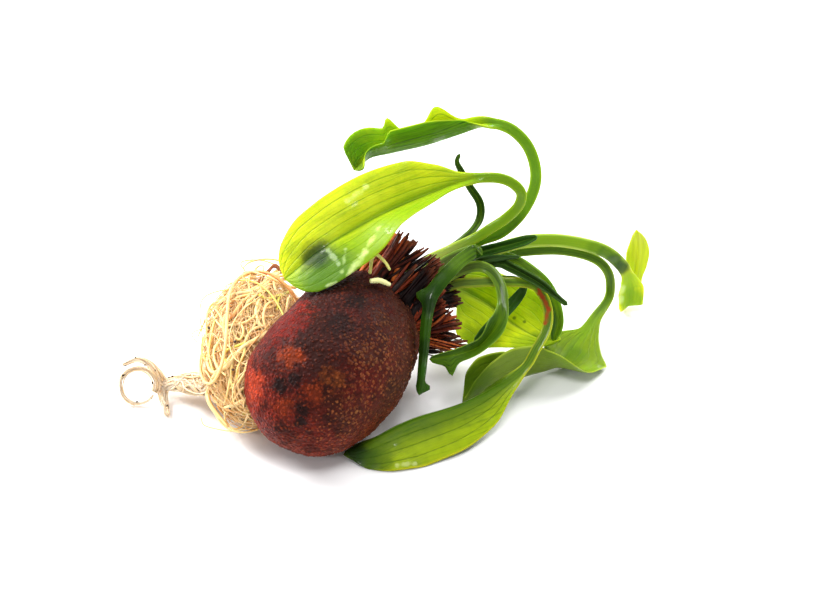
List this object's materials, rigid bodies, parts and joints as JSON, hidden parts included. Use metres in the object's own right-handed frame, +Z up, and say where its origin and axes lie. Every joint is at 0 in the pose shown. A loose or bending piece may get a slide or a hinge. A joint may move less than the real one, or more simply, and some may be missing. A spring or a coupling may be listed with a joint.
{
  "type": "aponogeton plant",
  "caption": "Loose water plant lying on its side: dark red tuber, collar of old fibres, tangle of pale roots and green leaves on arching stalks.",
  "frame": {"origin": "middle of the plant's bounding box on the table", "axes": "+X along the plant from its root tail to its leaf tips, +Y away from the viewer, +Z up"},
  "size_m": [0.0872, 0.0468, 0.0398],
  "materials": {
    "tuber_skin": "moist, pebbled",
    "old_fibre": "dull, fibrous",
    "root": "moist, satin",
    "young_root": "moist, satin",
    "leaf_yellow_green": "wet, glossy",
    "leaf_green": "wet, glossy",
    "leaf_dark_green": "wet, glossy"
  },
  "bodies": {
    "root": {"tuber": "tuber_skin", "fibre_collar": "old_fibre", "root_mass": "root", "root_tail": "root", "young_root_fat": "young_root", "young_root_loop": "young_root", "leaf_over_tuber": "leaf_yellow_green", "leaf_broad_back": "leaf_yellow_green", "leaf_top_rolled": "leaf_green", "leaf_front": "leaf_green", "leaf_long_arch": "leaf_green", "leaf_folded": "leaf_green", "leaf_ribbon_arch": "leaf_dark_green", "leaf_dark_strap": "leaf_dark_green", "leaf_loop": "leaf_dark_green", "leaf_grooved_roll": "leaf_dark_green", "leaf_blunt_roll": "leaf_dark_green", "leaf_short_tip": "leaf_dark_green", "leaf_thin_upright": "leaf_dark_green", "leaf_back_roll": "leaf_dark_green"}
  },
  "joints": []
}
